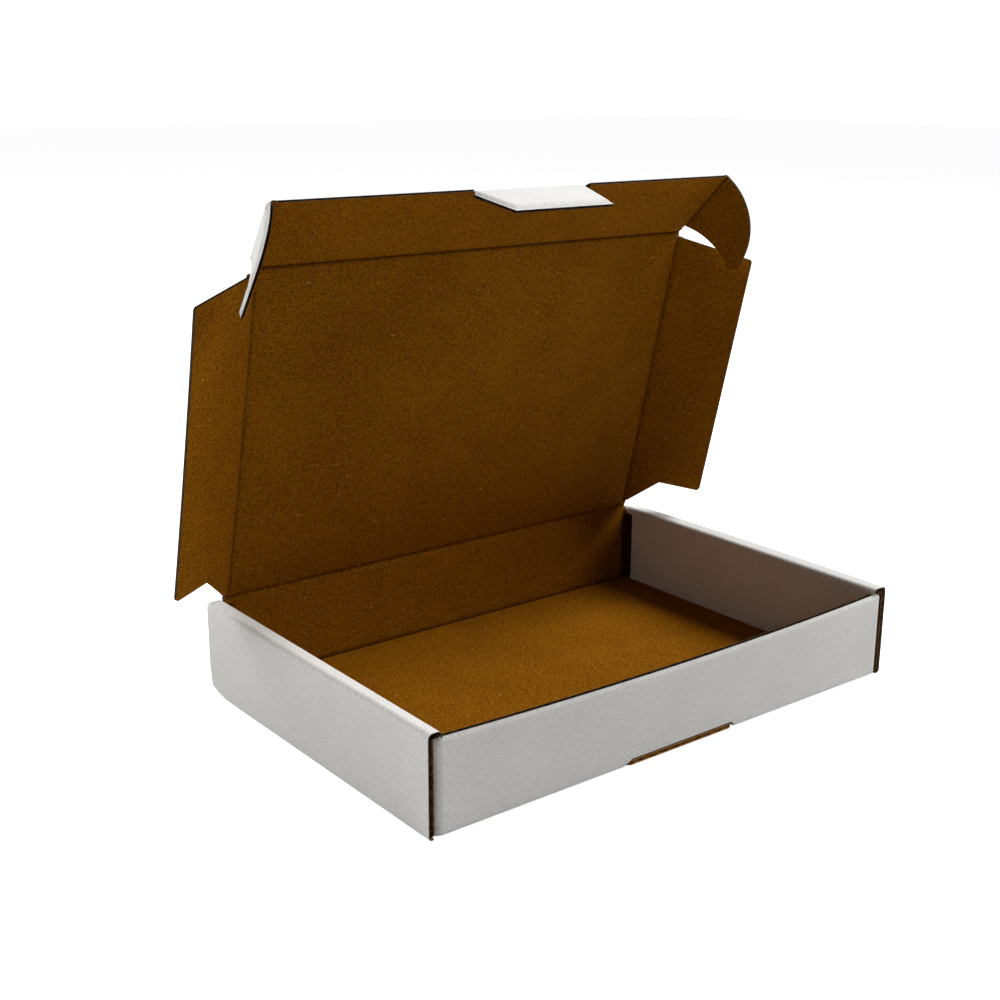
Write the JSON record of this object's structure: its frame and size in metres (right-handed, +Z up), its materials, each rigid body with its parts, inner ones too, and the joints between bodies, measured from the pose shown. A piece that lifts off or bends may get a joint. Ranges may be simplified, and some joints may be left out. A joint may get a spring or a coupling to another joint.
{
  "type": "corrugated mailer box",
  "caption": "Shallow corrugated mailer box with rolled double side walls, standing open: hinged lid with side flaps, a front tuck flap with ears and a lock tab.",
  "frame": {"origin": "on the ground under the middle of the tray's footprint", "axes": "+X along the long side of the tray to the right seen from the front, +Y from the front wall to the hinge wall, +Z up"},
  "size_m": [0.2977, 0.1724, 0.2217],
  "materials": {
    "board": "matte corrugated board, kraft brown liner on the inside faces and white liner on the outside faces"
  },
  "bodies": {
    "tray": {"tray": "board"},
    "lid_panel": {"lid_panel": "board"},
    "lid_side_flap_left": {"lid_side_flap_left": "board"},
    "lid_side_flap_right": {"lid_side_flap_right": "board"},
    "tuck_flap": {"tuck_flap": "board"},
    "tuck_ear_left": {"tuck_ear_left": "board"},
    "tuck_ear_right": {"tuck_ear_right": "board"},
    "lock_tab": {"lock_tab": "board"}
  },
  "joints": [
    {"name": "lid_hinge", "type": "hinge", "parent": "tray", "child": "lid_panel", "pos_m": [0, 0.0827, 0.0438], "axis": [-1, 0, 0], "range_deg": [-36, 103.1]},
    {"name": "left_side_flap_crease", "type": "hinge", "parent": "lid_panel", "child": "lid_side_flap_left", "pos_m": [-0.11775, 0.0827, 0.0438], "axis": [0, 0.2267, -0.974], "range_deg": [-21, 26]},
    {"name": "right_side_flap_crease", "type": "hinge", "parent": "lid_panel", "child": "lid_side_flap_right", "pos_m": [0.11775, 0.0827, 0.0438], "axis": [0, -0.2267, 0.974], "range_deg": [-7, 48]},
    {"name": "tuck_flap_crease", "type": "hinge", "parent": "lid_panel", "child": "tuck_flap", "pos_m": [0, 0.04802, 0.19282], "axis": [-1, 0, 0], "range_deg": [-29, 29.5]},
    {"name": "left_ear_crease", "type": "hinge", "parent": "tuck_flap", "child": "tuck_ear_left", "pos_m": [-0.11975, 0.04504, 0.19606], "axis": [0.1115, 0.6727, -0.7315], "range_deg": [-31, 59]},
    {"name": "right_ear_crease", "type": "hinge", "parent": "tuck_flap", "child": "tuck_ear_right", "pos_m": [0.11975, 0.04504, 0.19606], "axis": [0.1115, -0.6727, 0.7315], "range_deg": [-20, 10]},
    {"name": "lock_tab_crease", "type": "hinge", "parent": "tuck_flap", "child": "lock_tab", "pos_m": [0.0045, 0.0242, 0.21873], "axis": [-1, 0, 0], "range_deg": [-30, 150]}
  ]
}
